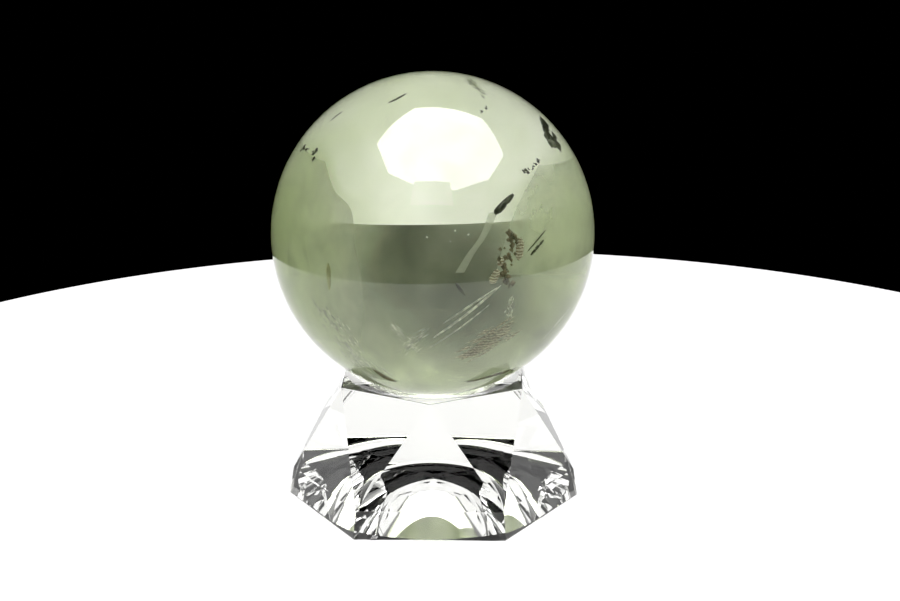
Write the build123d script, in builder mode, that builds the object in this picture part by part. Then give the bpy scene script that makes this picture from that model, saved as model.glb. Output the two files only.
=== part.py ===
"""Crystal ball on a display stand.

A natural green quartz sphere rests loose in the dish of a clear, one-piece acrylic stand. The stand is cut
like a gem: a low tapered plinth, six tall facets over its sides and six leaning facets over its corners,
which meet in a flat top turned half a side from the base. The ball sits in a wide dish in the top, and a
blunt cone is hollowed out underneath, so that the stand rests on its six corner pads.

Millimetres, +Z up. The origin is on the surface that the stand rests on, under the ball's centre. A flat
side of the base faces -Y.
"""
import os
from math import atan, cos, degrees, pi, radians, sin, tan

from build123d import *

# Ball
ball_diameter = 56.0
seat_clearance = 0.05  # under the ball's lowest point

# Stand, outside
side_count = 6
base_across_corners = 51.6
plinth_across_corners = 50.1
plinth_height = 5.0
top_across_corners = 36.0
stand_height = 22.8
edge_radius = 0.25  # on the edges of the foot and of the top

# Dish in the stand's top
dish_depth = 2.75
dish_rim_wall = 0.5  # flat left between the dish and the middle of each top edge

# Hollow under the stand
hollow_rim_wall = 1.0  # flat left between the hollow and the middle of each side
hollow_slope = 21.0  # of the cone, in degrees
hollow_tip_radius = 30.0  # blunts the cone's tip

# Worked out from the sizes above
side_half_angle = pi / side_count
turned_half_side = 180 / side_count
base_apothem = base_across_corners / 2 * cos(side_half_angle)
plinth_apothem = plinth_across_corners / 2 * cos(side_half_angle)
top_apothem = top_across_corners / 2 * cos(side_half_angle)
facet_height = stand_height - plinth_height

# Side facets reach up to the top's corners, and corner facets run down to the plinth's corners.
plinth_draft = degrees(atan((base_apothem - plinth_apothem) / plinth_height))
side_facet_lean = degrees(atan((plinth_apothem - top_across_corners / 2) / facet_height))
corner_facet_slope = (plinth_across_corners / 2 - top_apothem) / facet_height
corner_facet_lean = degrees(atan(corner_facet_slope))
corner_block_apothem = top_apothem + corner_facet_slope * stand_height

dish_rim_radius = top_apothem - dish_rim_wall
dish_radius = (dish_rim_radius**2 + dish_depth**2) / (2 * dish_depth)
ball_centre_height = stand_height - dish_depth + seat_clearance + ball_diameter / 2

hollow_rim_radius = base_apothem - hollow_rim_wall
slope = radians(hollow_slope)
tip_edge_radius = hollow_tip_radius * sin(slope)
tip_edge_height = (hollow_rim_radius - tip_edge_radius) * tan(slope)
tip_centre_height = tip_edge_height - hollow_tip_radius * cos(slope)

# A block whose six sides are the corner facets, turned half a side from the base
with BuildPart() as corner_block:
    with BuildSketch(Plane.XY):
        RegularPolygon(corner_block_apothem, side_count, False, rotation=turned_half_side)
    extrude(amount=stand_height, taper=corner_facet_lean)

# The hollow's half profile, turned about the stand's axis
with BuildPart() as hollow:
    with BuildSketch(Plane.XZ):
        with BuildLine():
            tip = CenterArc((0, tip_centre_height), hollow_tip_radius, 90, -hollow_slope)
            Polyline(tip @ 1, (hollow_rim_radius, 0), (0, 0), tip @ 0)
        make_face()
    revolve(axis=Axis.Z)

with BuildPart() as display_stand:
    # Plinth
    with BuildSketch(Plane.XY):
        RegularPolygon(base_across_corners / 2, side_count)
    extrude(amount=plinth_height, taper=plinth_draft)
    # Facets above it
    with BuildSketch(Plane.XY.offset(plinth_height)):
        RegularPolygon(plinth_across_corners / 2, side_count)
    extrude(amount=facet_height, taper=side_facet_lean)
    add(corner_block.part, mode=Mode.INTERSECT)
    fillet(display_stand.edges().group_by(Axis.Z)[0], edge_radius)
    fillet(display_stand.edges().group_by(Axis.Z)[-1], edge_radius)
    # Dish and hollow
    with Locations((0, 0, stand_height - dish_depth + dish_radius)):
        Sphere(dish_radius, mode=Mode.SUBTRACT)
    add(hollow.part, mode=Mode.SUBTRACT)
display_stand.part.label = "display_stand"

with BuildPart() as crystal_ball:
    with Locations((0, 0, ball_centre_height)):
        Sphere(ball_diameter / 2)
crystal_ball.part.label = "crystal_ball"

os.makedirs("parts", exist_ok=True)
export_step(display_stand.part, "parts/display_stand.step")
export_step(crystal_ball.part, "parts/crystal_ball.step")
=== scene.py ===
"""Looks of the crystal ball on its stand: materials, what has grown in the stone, studio and camera.

Metres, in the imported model's frame. Inside the ball, places and sizes are in ball radii from its centre.
"""
import math
import random

import bpy
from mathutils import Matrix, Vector


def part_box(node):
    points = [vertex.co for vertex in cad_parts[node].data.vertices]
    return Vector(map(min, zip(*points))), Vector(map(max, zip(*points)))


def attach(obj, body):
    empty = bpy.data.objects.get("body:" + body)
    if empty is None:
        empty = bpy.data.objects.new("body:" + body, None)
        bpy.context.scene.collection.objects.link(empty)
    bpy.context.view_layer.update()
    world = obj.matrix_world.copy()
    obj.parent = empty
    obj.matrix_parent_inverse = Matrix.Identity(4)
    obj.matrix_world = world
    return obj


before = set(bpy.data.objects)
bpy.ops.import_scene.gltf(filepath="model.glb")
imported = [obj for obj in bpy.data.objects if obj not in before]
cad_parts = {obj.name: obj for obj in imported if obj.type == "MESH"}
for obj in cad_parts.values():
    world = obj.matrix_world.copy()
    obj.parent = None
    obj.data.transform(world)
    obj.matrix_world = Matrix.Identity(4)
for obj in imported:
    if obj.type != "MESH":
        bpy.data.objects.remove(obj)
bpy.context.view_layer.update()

# Ball
ball_low, ball_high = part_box("crystal_ball")
BALL_CENTRE = (ball_low + ball_high) / 2
BALL_RADIUS = (ball_high.z - ball_low.z) / 2

# Camera
CAMERA_PLACE = (0.0104, -0.3376, 0.1278)
CAMERA_DOWN = 15.2  # degrees below level
CAMERA_TURN = 1.26  # degrees left of +Y
CAMERA_LENS, CAMERA_SENSOR = 80, 36

# Studio
TABLE_CENTRE = (0.0078, 0.0201)
TABLE_RADII = (0.1566, 0.1635)
TABLE_GAP = 0.00005  # air left under the stand's foot, so that its faces mirror as real ones do
TABLE_THICKNESS = 0.02
SOFTBOX_CENTRE = (0.07, -0.175, 0.55)
SOFTBOX_RADII = (0.40, 0.38)
SOFTBOX_LEVEL = 2.6
SOFTBOX_GLARE = 9.0  # its brightness seen in gloss
SOFTBOX_FOLDS, CARD_FOLDS = 6.0, 3.0  # noise scale of the folds in their glare
DIM_FOLDS = 0.75  # the glare in the dimmest folds, as a share of it
CARD_LOW, CARD_HIGH = (-0.10, -0.356, 0.27), (0.115, -0.356, 0.45)  # a card hung under the softbox
CARD_LEVEL = 1.4  # its brightness seen in gloss, and it is dark otherwise

# Milky zones in the stone: centre and radius in ball radii, and how dense the haze is there, per metre
HAZE = [
    ((-0.75, -0.10, 0.05), 0.65, 110),
    ((-0.55, -0.15, -0.60), 0.60, 90),
    ((-0.35, 0.10, 0.62), 0.60, 25),
    ((0.75, 0.00, 0.10), 0.62, 75),
    ((0.50, -0.10, -0.60), 0.50, 45),
    ((0.10, 0.00, 0.80), 0.45, 25),
    ((0.05, -0.20, -0.88), 0.50, 70),
    ((0.35, 0.50, 0.05), 0.50, 25),
]
CLEAR_DENSITY = 5  # between the zones
HAZE_COLOUR = (0.94, 0.98, 0.82, 1)
HAZE_CORE = 0.35  # share of a zone's radius that is at full density
HAZE_DRIFT = 0.7  # how strongly noise pushes the zones out of round
HAZE_FORWARD = 0.2  # how much more light the haze sends on than back, from 0 to 1

# Looks
ACRYLIC_INDEX = 1.49
ACRYLIC_SCUFFS = 0.03  # roughness where the acrylic is most scuffed
QUARTZ_INDEX = 1.545
TABLE_GLOW = 0.92  # its own light, which keeps it white as in the studio
TABLE_GREY = 0.35  # share of the lamps' light that the table gives back

# How finely shapes are made
VEIL_ROWS, VEIL_COLUMNS = 20, 14
NEEDLE_RINGS, NEEDLE_SIDES = 8, 5
NEEDLE_TIP = 0.15  # its radius at the ends, as a share of that at the middle
CRYSTAL_SIDES = 6
CRYSTAL_RINGS = [(-0.5, 0.25), (-0.3, 0.9), (0.25, 1.0), (0.5, 0.35)]  # place along it, share of radius
TABLE_SIDES = 256
SOFTBOX_SIDES = 8


def inside(x, y, z):
    """A place given in ball radii from the ball's centre, in metres."""
    return BALL_CENTRE + Vector((x, y, z)) * BALL_RADIUS


def material(name):
    """A new node material and its output node."""
    made = bpy.data.materials.new(name)
    made.use_nodes = True
    made.node_tree.nodes.clear()
    return made, made.node_tree.nodes.new("ShaderNodeOutputMaterial")


def node(made, kind, inputs=None, **settings):
    """Adds a shader node. An input's value is a number, a colour or another node's output socket."""
    tree = made.node_tree
    added = tree.nodes.new("ShaderNode" + kind)
    for key, value in settings.items():
        setattr(added, key, value)
    for key, value in (inputs or {}).items():
        if isinstance(value, bpy.types.NodeSocket):
            tree.links.new(value, added.inputs[key])
        else:
            added.inputs[key].default_value = value
    return added


def math_node(made, operation, first, second):
    return node(made, "Math", {0: first, 1: second}, operation=operation).outputs[0]


def remap(made, value, taken, given, **settings):
    """Maps a value from the range taken to the range given, held at its ends."""
    return node(made, "MapRange", {
        "Value": value, "From Min": taken[0], "From Max": taken[1],
        "To Min": given[0], "To Max": given[1]}, **settings).outputs["Result"]


def noise(made, place, scale, detail, output="Fac", **inputs):
    """Cloudy noise. Its other inputs are given by name."""
    inputs = {"Vector": place, "Scale": scale, "Detail": detail, **inputs}
    return node(made, "TexNoise", inputs).outputs[output]


def ramp(made, value, low, high):
    """Fades between two colours, each given with the value at which it is reached."""
    added = node(made, "ValToRGB", {"Fac": value})
    for element, (position, colour) in zip(added.color_ramp.elements, (low, high)):
        element.position = position
        element.color = (*colour, 1)
    return added.outputs["Color"]


def finish_material(made, output, shader, socket="Surface"):
    made.node_tree.links.new(shader, output.inputs[socket])
    return made


def mesh_object(name, points, faces, made, smooth=False):
    mesh = bpy.data.meshes.new(name)
    mesh.from_pydata([tuple(p) for p in points], [], faces)
    mesh.validate()
    if smooth:
        mesh.shade_smooth()
    mesh.materials.append(made)
    thing = bpy.data.objects.new(name, mesh)
    bpy.context.scene.collection.objects.link(thing)
    return thing


def grown(name, points, faces, made, smooth=False):
    """A piece grown into the stone, from places in ball radii."""
    piece = mesh_object(name, [inside(*p) for p in points], faces, made, smooth)
    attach(piece, "ball")
    return piece


# Materials

def acrylic_material():
    made, output = material("clear_acrylic")
    place = node(made, "TexCoord").outputs["Object"]
    scuffs = noise(made, place, 260.0, 4.0)
    shader = node(made, "BsdfPrincipled", {
        "Base Color": (0.985, 0.985, 0.965, 1), "IOR": ACRYLIC_INDEX, "Transmission Weight": 1.0,
        "Roughness": remap(made, scuffs, (0.55, 0.8), (0.0, ACRYLIC_SCUFFS))})
    return finish_material(made, output, shader.outputs["BSDF"])


def haze_density(made, radii):
    """The haze's density at a place in ball radii: the zones, out of round and broken into wisps."""
    drift = noise(made, radii, 1.8, 3.0, "Color")
    drift = node(made, "VectorMath", {0: drift, 1: (0.5, 0.5, 0.5)}, operation="SUBTRACT").outputs[0]
    drift = node(made, "VectorMath", {0: drift, "Scale": HAZE_DRIFT}, operation="SCALE").outputs[0]
    warped = node(made, "VectorMath", {0: radii, 1: drift}, operation="ADD").outputs[0]
    density = float(CLEAR_DENSITY)
    for centre, reach, strength in HAZE:
        away = node(made, "VectorMath", {0: warped, 1: centre}, operation="DISTANCE").outputs["Value"]
        zone = remap(made, away, (reach * HAZE_CORE, reach), (float(strength), 0.0),
                     interpolation_type="SMOOTHSTEP")
        density = math_node(made, "ADD", zone, density)
    wisps = noise(made, radii, 3.2, 5.0, Roughness=0.6, Distortion=0.6)
    return math_node(made, "MULTIPLY", density, remap(made, wisps, (0.40, 0.62), (0.15, 2.0)))


def quartz_material():
    made, output = material("green_quartz")
    place = node(made, "TexCoord").outputs["Object"]
    centred = node(made, "VectorMath", {0: place, 1: BALL_CENTRE}, operation="SUBTRACT").outputs[0]
    radii = node(made, "VectorMath", {0: centred, "Scale": 1 / BALL_RADIUS}, operation="SCALE").outputs[0]
    zones = noise(made, radii, 1.3, 3.0)
    shader = node(made, "BsdfPrincipled", {
        "Base Color": ramp(made, zones, (0.35, (0.84, 0.90, 0.68)), (0.65, (0.95, 0.98, 0.86))),
        "Roughness": 0.0, "IOR": QUARTZ_INDEX, "Transmission Weight": 1.0})
    haze = node(made, "VolumePrincipled", {
        "Color": HAZE_COLOUR, "Density": haze_density(made, radii), "Anisotropy": HAZE_FORWARD})
    finish_material(made, output, haze.outputs[0], "Volume")
    return finish_material(made, output, shader.outputs["BSDF"])


def veil_material(name, colour, thin, thick, scale):
    """Milky healed cracks: noise between see-through and clouded."""
    made, output = material(name)
    place = node(made, "TexCoord").outputs["Object"]
    cloud = noise(made, place, scale, 5.0)
    cover = remap(made, cloud, (0.35, 0.65), (thin, thick))
    shade = ramp(made, cloud, (0.3, tuple(0.85 * c for c in colour)), (0.7, colour))
    front = node(made, "BsdfDiffuse", {"Color": shade}).outputs[0]
    through = node(made, "BsdfTranslucent", {"Color": shade}).outputs[0]
    milky = node(made, "MixShader", {0: 0.5, 1: front, 2: through}).outputs[0]
    clear = node(made, "BsdfTransparent").outputs[0]
    both = node(made, "MixShader", {0: cover, 1: clear, 2: milky})
    return finish_material(made, output, both.outputs[0])


def mineral_material(name, dark, light, scale, lit_through=0.0, rough=0.45, silver=0.0, stripes=False):
    """Solid grains, needles and flakes: two colours in a fine grain, lit through by the share given."""
    made, output = material(name)
    place = node(made, "TexCoord").outputs["Object"]
    if stripes:
        grain = node(made, "TexWave", {"Vector": place, "Scale": scale, "Distortion": 6.0, "Detail": 2.0,
                                       "Detail Scale": 1.5}, bands_direction="Z").outputs["Fac"]
    else:
        grain = noise(made, place, scale, 4.0)
    colour = ramp(made, grain, (0.35, dark), (0.65, light))
    bump = node(made, "Bump", {"Height": grain, "Strength": 0.4, "Distance": 0.0002})
    body = node(made, "BsdfPrincipled", {
        "Base Color": colour, "Metallic": silver, "Normal": bump.outputs[0],
        "Roughness": remap(made, grain, (0.0, 1.0), (rough - 0.1, rough + 0.15))})
    through = node(made, "BsdfTranslucent", {"Color": colour})
    both = node(made, "MixShader", {0: lit_through, 1: body.outputs[0], 2: through.outputs[0]})
    return finish_material(made, output, both.outputs[0])


def table_material():
    made, output = material("white_table")
    glow = node(made, "Emission", {"Color": (1, 1, 1, 1), "Strength": TABLE_GLOW})
    lit = node(made, "BsdfDiffuse", {"Color": (TABLE_GREY, TABLE_GREY, TABLE_GREY, 1)})
    both = node(made, "AddShader", {0: glow.outputs[0], 1: lit.outputs[0]})
    return finish_material(made, output, both.outputs[0])


def lamp_material(name, level, glare, scale):
    """An even lamp, whose glare shows in gloss alone, a little uneven."""
    made, output = material(name)
    path = node(made, "LightPath")
    undiffused = math_node(made, "LESS_THAN", path.outputs["Diffuse Depth"], 0.5)
    seen = math_node(made, "MULTIPLY", path.outputs["Is Glossy Ray"], undiffused)
    place = node(made, "TexCoord").outputs["Object"]
    folds = noise(made, place, scale, 2.0)
    uneven = remap(made, folds, (0.4, 0.6), (glare * DIM_FOLDS, glare))
    strength = remap(made, seen, (0.0, 1.0), (level, uneven))
    glow = node(made, "Emission", {"Color": (1, 1, 1, 1), "Strength": strength})
    return finish_material(made, output, glow.outputs[0])


# Shapes inside the stone

def along(points, share):
    """A place a share of the way along a smooth line through points."""
    spans = len(points) - 1
    step = min(int(share * spans), spans - 1)
    t = share * spans - step
    p = [Vector(points[max(0, min(spans, step + k))]) for k in (-1, 0, 1, 2)]
    return 0.5 * ((2 * p[1]) + (p[2] - p[0]) * t + (2 * p[0] - 5 * p[1] + 4 * p[2] - p[3]) * t * t
                  + (3 * p[1] - p[0] - 3 * p[2] + p[3]) * t ** 3)


def veil(name, one_edge, other_edge, bulge, made):
    """A thin sheet between two edges, pushed out by the bulge midway between them."""
    points, faces = [], []
    for i in range(VEIL_ROWS + 1):
        a, b = along(one_edge, i / VEIL_ROWS), along(other_edge, i / VEIL_ROWS)
        for j in range(VEIL_COLUMNS + 1):
            t = j / VEIL_COLUMNS
            points.append(a.lerp(b, t) + Vector(bulge) * 4 * t * (1 - t))
    row = VEIL_COLUMNS + 1
    for i in range(VEIL_ROWS):
        for j in range(VEIL_COLUMNS):
            k = i * row + j
            faces.append((k, k + 1, k + row + 1, k + row))
    return grown(name, points, faces, made, smooth=True)


def add_tube_faces(faces, start, spans, sides):
    """Adds the walls and both ends of a tube whose rings of points follow one another from start."""
    for i in range(spans):
        for k in range(sides):
            a, b = start + i * sides + k, start + i * sides + (k + 1) % sides
            faces.append((a, b, b + sides, a + sides))
    faces.append(tuple(start + k for k in reversed(range(sides))))
    faces.append(tuple(start + spans * sides + k for k in range(sides)))


def add_needle(points, faces, path, radius):
    """Adds a needle that follows its path and is thickest midway."""
    start = len(points)
    for i in range(NEEDLE_RINGS + 1):
        share = i / NEEDLE_RINGS
        centre = along(path, share)
        ahead = (along(path, min(1, share + 0.01)) - along(path, max(0, share - 0.01))).normalized()
        side = ahead.orthogonal().normalized()
        other = ahead.cross(side)
        swell = math.sin(math.pi * min(max(share, 0.02), 0.98)) ** 0.6
        reach = radius * (NEEDLE_TIP + (1 - NEEDLE_TIP) * swell)
        for k in range(NEEDLE_SIDES):
            turn = math.tau * k / NEEDLE_SIDES
            points.append(centre + (side * math.cos(turn) + other * math.sin(turn)) * reach)
    add_tube_faces(faces, start, NEEDLE_RINGS, NEEDLE_SIDES)


def needles(name, paths, made):
    """Needles in one piece: paths are (points, radius at the middle)."""
    points, faces = [], []
    for path, radius in paths:
        add_needle(points, faces, path, radius)
    return grown(name, points, faces, made, smooth=True)


def random_direction(rng):
    return Vector((rng.gauss(0, 1), rng.gauss(0, 1), rng.gauss(0, 1))).normalized()


def add_grain(points, faces, centre, size, stretch, rng):
    """Adds a small angular grain: an uneven eight-sided lump, stretched along one axis."""
    axis = Vector(stretch)
    start = len(points)
    for corner in ((1, 0, 0), (-1, 0, 0), (0, 1, 0), (0, -1, 0), (0, 0, 1), (0, 0, -1)):
        reach = Vector(corner) * size * rng.uniform(0.6, 1.3)
        points.append(Vector(centre) + reach + axis * reach.dot(axis) + random_direction(rng) * size * 0.2)
    for a in (0, 1):
        for b in (2, 3):
            for c in (4, 5):
                corners = (start + a, start + b, start + c)
                faces.append(corners if (a + b + c) % 2 == 0 else corners[::-1])


def grains(name, line, count, spread, sizes, made, seed, stretch=(0, 0, 0)):
    """Grains scattered along a line."""
    rng = random.Random(seed)
    points, faces = [], []
    for _ in range(count):
        centre = along(line, rng.random()) + random_direction(rng) * spread * rng.random()
        add_grain(points, faces, centre, rng.uniform(*sizes), stretch, rng)
    return grown(name, points, faces, made)


def blades(name, line, direction, count, spread, lengths, width, made, seed, fan=0.25):
    """Thin splinters that lie roughly one way: the feathery surface of a crack."""
    rng = random.Random(seed)
    points, faces = [], []
    for _ in range(count):
        centre = along(line, rng.random()) + random_direction(rng) * spread * rng.random()
        way = (Vector(direction).normalized() + random_direction(rng) * fan).normalized()
        across = way.cross(random_direction(rng)).normalized() * width * rng.uniform(0.5, 1.4)
        thick = way.cross(across).normalized() * width * 0.25
        half = way * rng.uniform(*lengths) / 2
        start = len(points)
        points += [centre - half, centre + across * 0.5 + thick, centre + half,
                   centre - across * 0.5 + thick, centre - thick]
        faces += [(start, start + 1, start + 2, start + 3), (start, start + 4, start + 1),
                  (start + 1, start + 4, start + 2), (start + 2, start + 4, start + 3),
                  (start + 3, start + 4, start)]
    return grown(name, points, faces, made)


def crystal(name, centre, axis, length, radius, made, seed):
    """A six-sided crystal with uneven sides that narrow to both ends."""
    rng = random.Random(seed)
    way = Vector(axis).normalized()
    side = way.orthogonal().normalized()
    other = way.cross(side)
    points, faces = [], []
    for height, share in CRYSTAL_RINGS:
        for k in range(CRYSTAL_SIDES):
            turn = math.tau * k / CRYSTAL_SIDES
            reach = radius * share * rng.uniform(0.75, 1.2)
            points.append(Vector(centre) + way * height * length
                          + (side * math.cos(turn) + other * math.sin(turn)) * reach)
    add_tube_faces(faces, 0, len(CRYSTAL_RINGS) - 1, CRYSTAL_SIDES)
    return grown(name, points, faces, made)


def inclusion_looks():
    """The materials of what has grown in the stone, by a short name."""
    return {
        "milk": veil_material("milky_veil", (0.80, 0.83, 0.72), 0.45, 0.85, 90.0),
        "mist": veil_material("pale_mist", (0.84, 0.90, 0.74), 0.15, 0.6, 70.0),
        "white": mineral_material("white_crack", (0.75, 0.76, 0.70), (0.97, 0.97, 0.93), 900.0,
                                  lit_through=0.4, rough=0.25, silver=0.7),
        "cream": mineral_material("cream_flake", (0.62, 0.55, 0.42), (0.96, 0.92, 0.82), 700.0,
                                  lit_through=0.4, rough=0.3, silver=0.4, stripes=True),
        "brown": mineral_material("brown_grain", (0.10, 0.09, 0.05), (0.34, 0.28, 0.18), 1200.0,
                                  lit_through=0.1),
        "dark": mineral_material("dark_needle", (0.03, 0.035, 0.02), (0.09, 0.10, 0.06), 1500.0,
                                 rough=0.35),
        "straw": mineral_material("straw_crystal", (0.60, 0.62, 0.36), (0.88, 0.88, 0.62), 900.0,
                                  lit_through=0.4),
    }


def make_veils(looks):
    shield_edge = [(-0.54, -0.28, 0.44), (-0.49, -0.42, 0.32), (-0.40, -0.50, 0.24), (-0.38, -0.56, 0.07),
                   (-0.35, -0.59, -0.08), (-0.34, -0.57, -0.27), (-0.36, -0.46, -0.48)]
    shield_back = [(-0.60, 0.20, 0.40), (-0.70, 0.25, 0.25), (-0.72, 0.25, 0.10), (-0.72, 0.25, -0.05),
                   (-0.70, 0.25, -0.20), (-0.64, 0.22, -0.35), (-0.56, 0.20, -0.48)]
    veil("veil_left", shield_edge, shield_back, (-0.04, -0.03, 0), looks["milk"])
    veil("veil_left_inner",
         [(-0.54, -0.11, 0.30), (-0.48, -0.21, 0.22), (-0.45, -0.27, 0.10), (-0.42, -0.33, -0.12)],
         [(-0.56, -0.10, 0.29), (-0.62, -0.10, 0.18), (-0.66, -0.10, 0.02), (-0.66, -0.09, -0.18)],
         (0, -0.03, 0), looks["mist"])
    veil("veil_right",
         [(0.54, -0.24, 0.41), (0.44, -0.43, 0.25), (0.38, -0.51, 0.09), (0.33, -0.55, -0.08)],
         [(0.62, 0.25, 0.30), (0.68, 0.21, 0.12), (0.68, 0.17, -0.04), (0.62, 0.14, -0.20)],
         (0.04, -0.02, 0), looks["mist"])
    veil("veil_middle",
         [(0.30, -0.21, 0.15), (0.25, -0.26, 0.05), (0.20, -0.28, -0.02), (0.15, -0.30, -0.11)],
         [(0.26, -0.23, 0.15), (0.22, -0.27, 0.05), (0.16, -0.29, -0.03), (0.11, -0.31, -0.11)],
         (0, 0, 0), looks["milk"])


def make_dark_grit(looks):
    needles("dark_needles", [
        ([(-0.24, -0.32, 0.83), (-0.19, -0.30, 0.85), (-0.14, -0.26, 0.87)], 0.008),
        ([(0.36, -0.72, 0.28), (0.39, -0.70, 0.31), (0.46, -0.63, 0.37)], 0.022),
        ([(0.14, -0.70, -0.10), (0.16, -0.69, -0.13), (0.19, -0.68, -0.17)], 0.011),
        ([(0.55, -0.63, 0.03), (0.58, -0.60, 0.06), (0.62, -0.56, 0.10)], 0.010),
        ([(0.53, -0.64, 0.05), (0.58, -0.60, 0.10), (0.63, -0.54, 0.15)], 0.005),
        ([(-0.58, -0.21, 0.71), (-0.55, -0.21, 0.74), (-0.51, -0.20, 0.76)], 0.006),
    ], looks["dark"])
    grains("grit_left",
           [(-0.75, -0.17, 0.54), (-0.71, -0.25, 0.55), (-0.66, -0.36, 0.57), (-0.67, -0.40, 0.51)],
           16, 0.03, (0.006, 0.016), looks["dark"], 3)
    grains("grit_right",
           [(0.50, -0.52, 0.48), (0.55, -0.48, 0.48), (0.60, -0.40, 0.51)],
           22, 0.02, (0.005, 0.011), looks["dark"], 4)
    grains("grit_top",
           [(0.31, -0.30, 0.81), (0.30, -0.34, 0.79), (0.28, -0.37, 0.78)],
           9, 0.015, (0.004, 0.010), looks["dark"], 5)
    grains("dark_spots_right",
           [(0.55, 0.05, 0.56), (0.57, 0.00, 0.52), (0.61, -0.02, 0.47)],
           14, 0.06, (0.015, 0.040), looks["dark"], 6, stretch=(0, 0, 0.6))


def make_brown_cluster(looks):
    grains("brown_cluster",
           [(0.43, -0.64, 0.16), (0.44, -0.65, 0.08), (0.39, -0.68, -0.01), (0.42, -0.67, -0.12)],
           70, 0.055, (0.006, 0.018), looks["brown"], 7, stretch=(0, 0, 0.5))
    crystal("cream_crystal_low", (0.35, -0.70, -0.07), (0.5, 0, 0.9), 0.085, 0.028, looks["cream"], 8)
    crystal("cream_crystal_high", (0.49, -0.66, 0.07), (0.15, 0, 1), 0.12, 0.026, looks["cream"], 9)
    crystal("cream_crystal_small", (0.38, -0.69, 0.01), (0.3, 0, 1), 0.05, 0.018, looks["cream"], 10)


def make_cracks(looks):
    blades("crack_left_low",
           [(-0.57, -0.47, -0.30), (-0.50, -0.49, -0.38), (-0.44, -0.46, -0.50), (-0.37, -0.43, -0.59),
            (-0.30, -0.37, -0.66)],
           (0.6, 0.1, -0.8), 130, 0.09, (0.03, 0.10), 0.010, looks["white"], 11)
    blades("crack_middle_low",
           [(-0.14, -0.50, -0.50), (-0.08, -0.53, -0.44), (-0.02, -0.56, -0.37)],
           (0.7, 0, 0.6), 40, 0.05, (0.03, 0.09), 0.006, looks["white"], 12)
    blades("crack_middle_cross",
           [(-0.19, -0.55, -0.36), (-0.12, -0.52, -0.42), (-0.08, -0.50, -0.47)],
           (0.7, 0, -0.55), 30, 0.04, (0.03, 0.07), 0.006, looks["white"], 13)
    blades("cream_fan",
           [(0.22, -0.60, -0.52), (0.31, -0.60, -0.45), (0.40, -0.60, -0.38)],
           (0.8, 0.05, 0.42), 120, 0.08, (0.06, 0.16), 0.012, looks["cream"], 14, fan=0.10)
    blades("white_burst",
           [(0.43, -0.65, -0.21), (0.44, -0.63, -0.26), (0.42, -0.62, -0.31)],
           (0.1, 0, 1), 30, 0.03, (0.02, 0.05), 0.010, looks["white"], 15, fan=0.6)
    blades("top_flake",
           [(0.20, 0.03, 0.87), (0.24, -0.06, 0.85), (0.28, -0.15, 0.82)],
           (0.5, -0.6, -0.3), 40, 0.03, (0.03, 0.08), 0.014, looks["white"], 16, fan=0.5)


def make_streaks(looks):
    needles("long_streaks", [
        ([(0.07, -0.58, -0.33), (0.20, -0.57, -0.24), (0.34, -0.55, -0.15)], 0.006),
        ([(0.02, -0.56, -0.41), (0.19, -0.57, -0.28), (0.36, -0.54, -0.14)], 0.008),
        ([(0.00, -0.56, -0.47), (0.15, -0.57, -0.36), (0.30, -0.54, -0.24)], 0.004),
        ([(0.61, -0.36, -0.51), (0.70, -0.34, -0.42), (0.76, -0.27, -0.35)], 0.005),
    ], looks["white"])
    crystal("straw_crystal", (-0.555, -0.67, -0.09), (0, 0.1, 1), 0.15, 0.014, looks["straw"], 17)
    grains("bright_specks",
           [(-0.03, -0.78, 0.18), (0.10, -0.78, 0.13), (0.30, -0.70, 0.27)],
           5, 0.05, (0.005, 0.009), looks["white"], 18)
    needles("dark_streaks_low", [
        ([(-0.31, -0.46, -0.65), (-0.25, -0.43, -0.70), (-0.19, -0.41, -0.73)], 0.018),
        ([(0.30, -0.38, -0.71), (0.36, -0.36, -0.70), (0.46, -0.25, -0.68)], 0.016),
        ([(0.19, -0.41, -0.73), (0.25, -0.39, -0.72), (0.32, -0.38, -0.70)], 0.010),
    ], looks["brown"])


def make_inclusions():
    looks = inclusion_looks()
    make_veils(looks)
    make_dark_grit(looks)
    make_brown_cluster(looks)
    make_cracks(looks)
    make_streaks(looks)


# Studio

def oval(centre, radii, sides, first_turn=0.0):
    """Points round an oval, in x and y."""
    turns = [math.tau * (i + first_turn) / sides for i in range(sides)]
    return [(centre[0] + radii[0] * math.cos(t), centre[1] + radii[1] * math.sin(t)) for t in turns]


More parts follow.
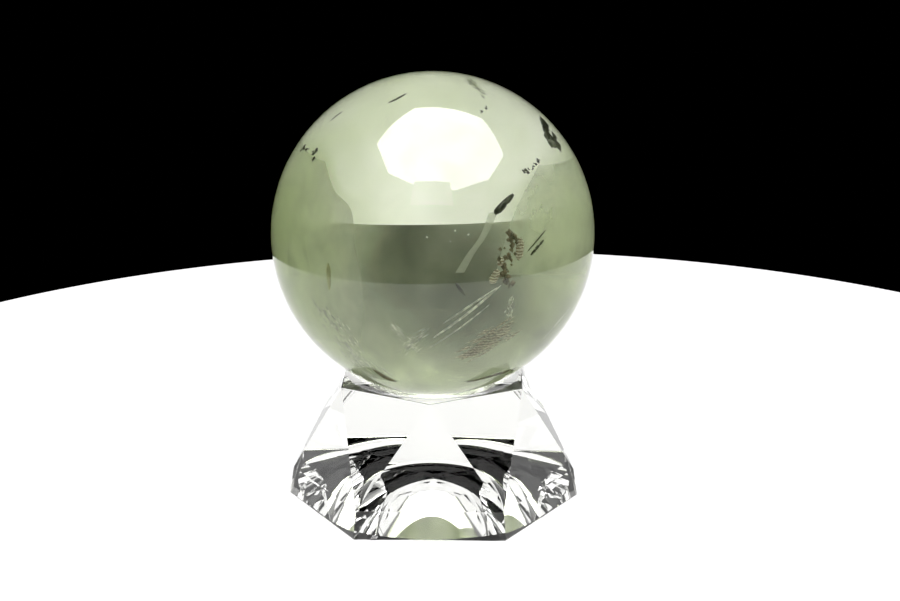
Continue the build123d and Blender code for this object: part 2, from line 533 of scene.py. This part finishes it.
def make_table():
    ring = oval(TABLE_CENTRE, TABLE_RADII, TABLE_SIDES)
    top = [(x, y, -TABLE_GAP) for x, y in ring]
    bottom = [(x, y, -TABLE_GAP - TABLE_THICKNESS) for x, y in ring]
    faces = [tuple(range(TABLE_SIDES)), tuple(range(2 * TABLE_SIDES - 1, TABLE_SIDES - 1, -1))]
    for i in range(TABLE_SIDES):
        after = (i + 1) % TABLE_SIDES
        faces.append((i, TABLE_SIDES + i, TABLE_SIDES + after, after))
    mesh_object("table", top + bottom, faces, table_material())


def make_softbox():
    ring = [(x, y, SOFTBOX_CENTRE[2]) for x, y in oval(SOFTBOX_CENTRE, SOFTBOX_RADII, SOFTBOX_SIDES, 0.5)]
    facing_down = [tuple(reversed(range(SOFTBOX_SIDES)))]
    lamp = lamp_material("softbox", SOFTBOX_LEVEL, SOFTBOX_GLARE, SOFTBOX_FOLDS)
    mesh_object("softbox", ring, facing_down, lamp)


def make_card():
    (x0, y0, z0), (x1, y1, z1) = CARD_LOW, CARD_HIGH
    corners = [(x0, y0, z0), (x1, y0, z0), (x1, y1, z1), (x0, y1, z1)]
    lamp = lamp_material("card", 0.0, CARD_LEVEL, CARD_FOLDS)
    mesh_object("card", corners, [(0, 1, 2, 3)], lamp)


def make_camera():
    data = bpy.data.cameras.new("camera")
    data.lens = CAMERA_LENS
    data.sensor_width = CAMERA_SENSOR
    camera = bpy.data.objects.new("camera", data)
    bpy.context.scene.collection.objects.link(camera)
    camera.location = CAMERA_PLACE
    camera.rotation_euler = (math.radians(90 - CAMERA_DOWN), 0, math.radians(CAMERA_TURN))
    bpy.context.scene.camera = camera


def set_up_render():
    scene = bpy.context.scene
    scene.view_settings.view_transform = "Standard"
    world = bpy.data.worlds.new("backdrop")
    world.use_nodes = True
    world.node_tree.nodes["Background"].inputs["Color"].default_value = (0, 0, 0, 1)
    scene.world = world
    scene.cycles.max_bounces = 24
    scene.cycles.transmission_bounces = 24
    scene.cycles.glossy_bounces = 16
    scene.cycles.transparent_max_bounces = 32
    scene.cycles.volume_bounces = 8


def dress(name, made):
    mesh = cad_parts[name].data
    mesh.materials.clear()
    mesh.materials.append(made)


dress("display_stand", acrylic_material())
dress("crystal_ball", quartz_material())
make_inclusions()
make_table()
make_softbox()
make_card()
make_camera()
set_up_render()
